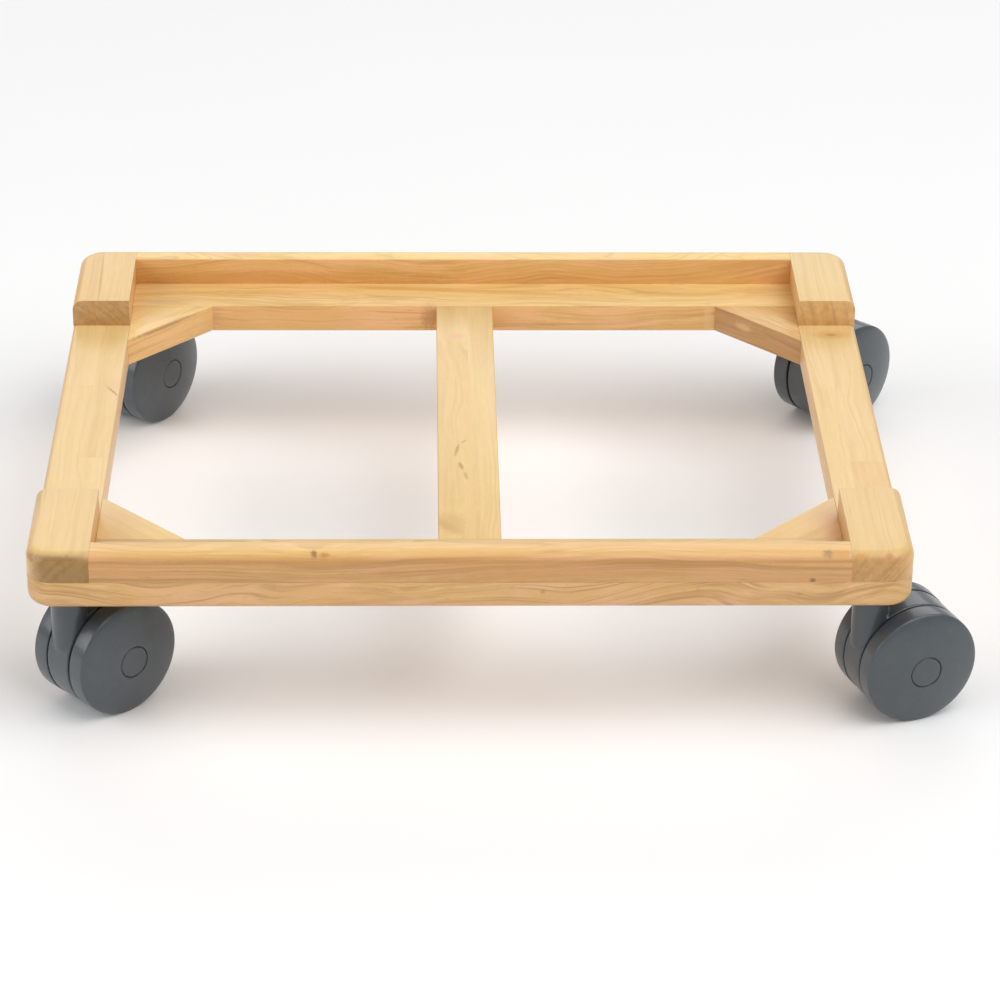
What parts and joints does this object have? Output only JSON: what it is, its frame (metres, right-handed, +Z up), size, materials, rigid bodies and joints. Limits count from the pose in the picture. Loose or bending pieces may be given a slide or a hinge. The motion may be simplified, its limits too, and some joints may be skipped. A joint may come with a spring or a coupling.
{
  "type": "plant pot caddy",
  "caption": "Low rectangular wooden tray frame with a kerb, a centre slat and a swivelling twin-wheel castor under each corner, for rolling a heavy planter.",
  "frame": {"origin": "centre of the deck: the middle of the centre slat's top face, where the pot stands", "axes": "+X to the caddy's right along its long side, +Y to the rear, +Z up; the floor is 71 mm below the origin"},
  "size_m": [0.3904, 0.325, 0.0835],
  "materials": {
    "wood": "satin clear lacquer",
    "castor_plastic": "satin moulded, dark grey",
    "steel": "zinc plated"
  },
  "bodies": {
    "frame": {"front_lower_rail": "wood", "rear_lower_rail": "wood", "left_side_rail": "wood", "right_side_rail": "wood", "centre_slat": "wood", "front_left_gusset": "wood", "front_right_gusset": "wood", "rear_left_gusset": "wood", "rear_right_gusset": "wood", "front_left_block": "wood", "front_right_block": "wood", "rear_left_block": "wood", "rear_right_block": "wood", "front_upper_rail": "wood", "rear_upper_rail": "wood", "dowels": "wood", "front_left_sleeve": "castor_plastic", "front_right_sleeve": "castor_plastic", "rear_left_sleeve": "castor_plastic", "rear_right_sleeve": "castor_plastic"},
    "front_left_castor": {"front_left_stem": "steel", "front_left_grip_ring": "steel", "front_left_housing": "castor_plastic", "front_left_axle": "steel", "front_left_clips": "steel"},
    "front_left_left_spinner": {"front_left_left_wheel": "castor_plastic", "front_left_left_cap": "castor_plastic"},
    "front_left_right_spinner": {"front_left_right_wheel": "castor_plastic", "front_left_right_cap": "castor_plastic"},
    "front_right_castor": {"front_right_stem": "steel", "front_right_grip_ring": "steel", "front_right_housing": "castor_plastic", "front_right_axle": "steel", "front_right_clips": "steel"},
    "front_right_left_spinner": {"front_right_left_wheel": "castor_plastic", "front_right_left_cap": "castor_plastic"},
    "front_right_right_spinner": {"front_right_right_wheel": "castor_plastic", "front_right_right_cap": "castor_plastic"},
    "rear_left_castor": {"rear_left_stem": "steel", "rear_left_grip_ring": "steel", "rear_left_housing": "castor_plastic", "rear_left_axle": "steel", "rear_left_clips": "steel"},
    "rear_left_left_spinner": {"rear_left_left_wheel": "castor_plastic", "rear_left_left_cap": "castor_plastic"},
    "rear_left_right_spinner": {"rear_left_right_wheel": "castor_plastic", "rear_left_right_cap": "castor_plastic"},
    "rear_right_castor": {"rear_right_stem": "steel", "rear_right_grip_ring": "steel", "rear_right_housing": "castor_plastic", "rear_right_axle": "steel", "rear_right_clips": "steel"},
    "rear_right_left_spinner": {"rear_right_left_wheel": "castor_plastic", "rear_right_left_cap": "castor_plastic"},
    "rear_right_right_spinner": {"rear_right_right_wheel": "castor_plastic", "rear_right_right_cap": "castor_plastic"}
  },
  "joints": [
    {"name": "front_left_swivel", "type": "hinge", "parent": "frame", "child": "front_left_castor", "pos_m": [-0.1646, -0.132, -0.0125], "axis": [0, 0, 1], "continuous": true},
    {"name": "front_left_left_roll", "type": "hinge", "parent": "front_left_castor", "child": "front_left_left_spinner", "pos_m": [-0.15187, -0.12013, -0.046], "axis": [-0.682, 0.7314, 0], "continuous": true},
    {"name": "front_left_right_roll", "type": "hinge", "parent": "front_left_castor", "child": "front_left_right_spinner", "pos_m": [-0.15187, -0.12013, -0.046], "axis": [-0.682, 0.7314, 0], "continuous": true},
    {"name": "front_right_swivel", "type": "hinge", "parent": "frame", "child": "front_right_castor", "pos_m": [0.1646, -0.132, -0.0125], "axis": [0, 0, 1], "continuous": true},
    {"name": "front_right_left_roll", "type": "hinge", "parent": "front_right_castor", "child": "front_right_left_spinner", "pos_m": [0.18084, -0.12576, -0.046], "axis": [-0.3584, 0.9336, 0], "continuous": true},
    {"name": "front_right_right_roll", "type": "hinge", "parent": "front_right_castor", "child": "front_right_right_spinner", "pos_m": [0.18084, -0.12576, -0.046], "axis": [-0.3584, 0.9336, 0], "continuous": true},
    {"name": "rear_left_swivel", "type": "hinge", "parent": "frame", "child": "rear_left_castor", "pos_m": [-0.1646, 0.132, -0.0125], "axis": [0, 0, 1], "continuous": true},
    {"name": "rear_left_left_roll", "type": "hinge", "parent": "rear_left_castor", "child": "rear_left_left_spinner", "pos_m": [-0.15487, 0.14643, -0.046], "axis": [-0.829, 0.5592, 0], "continuous": true},
    {"name": "rear_left_right_roll", "type": "hinge", "parent": "rear_left_castor", "child": "rear_left_right_spinner", "pos_m": [-0.15487, 0.14643, -0.046], "axis": [-0.829, 0.5592, 0], "continuous": true},
    {"name": "rear_right_swivel", "type": "hinge", "parent": "frame", "child": "rear_right_castor", "pos_m": [0.1646, 0.132, -0.0125], "axis": [0, 0, 1], "continuous": true},
    {"name": "rear_right_left_roll", "type": "hinge", "parent": "rear_right_castor", "child": "rear_right_left_spinner", "pos_m": [0.17712, 0.14409, -0.046], "axis": [-0.6947, 0.7193, 0], "continuous": true},
    {"name": "rear_right_right_roll", "type": "hinge", "parent": "rear_right_castor", "child": "rear_right_right_spinner", "pos_m": [0.17712, 0.14409, -0.046], "axis": [-0.6947, 0.7193, 0], "continuous": true}
  ]
}
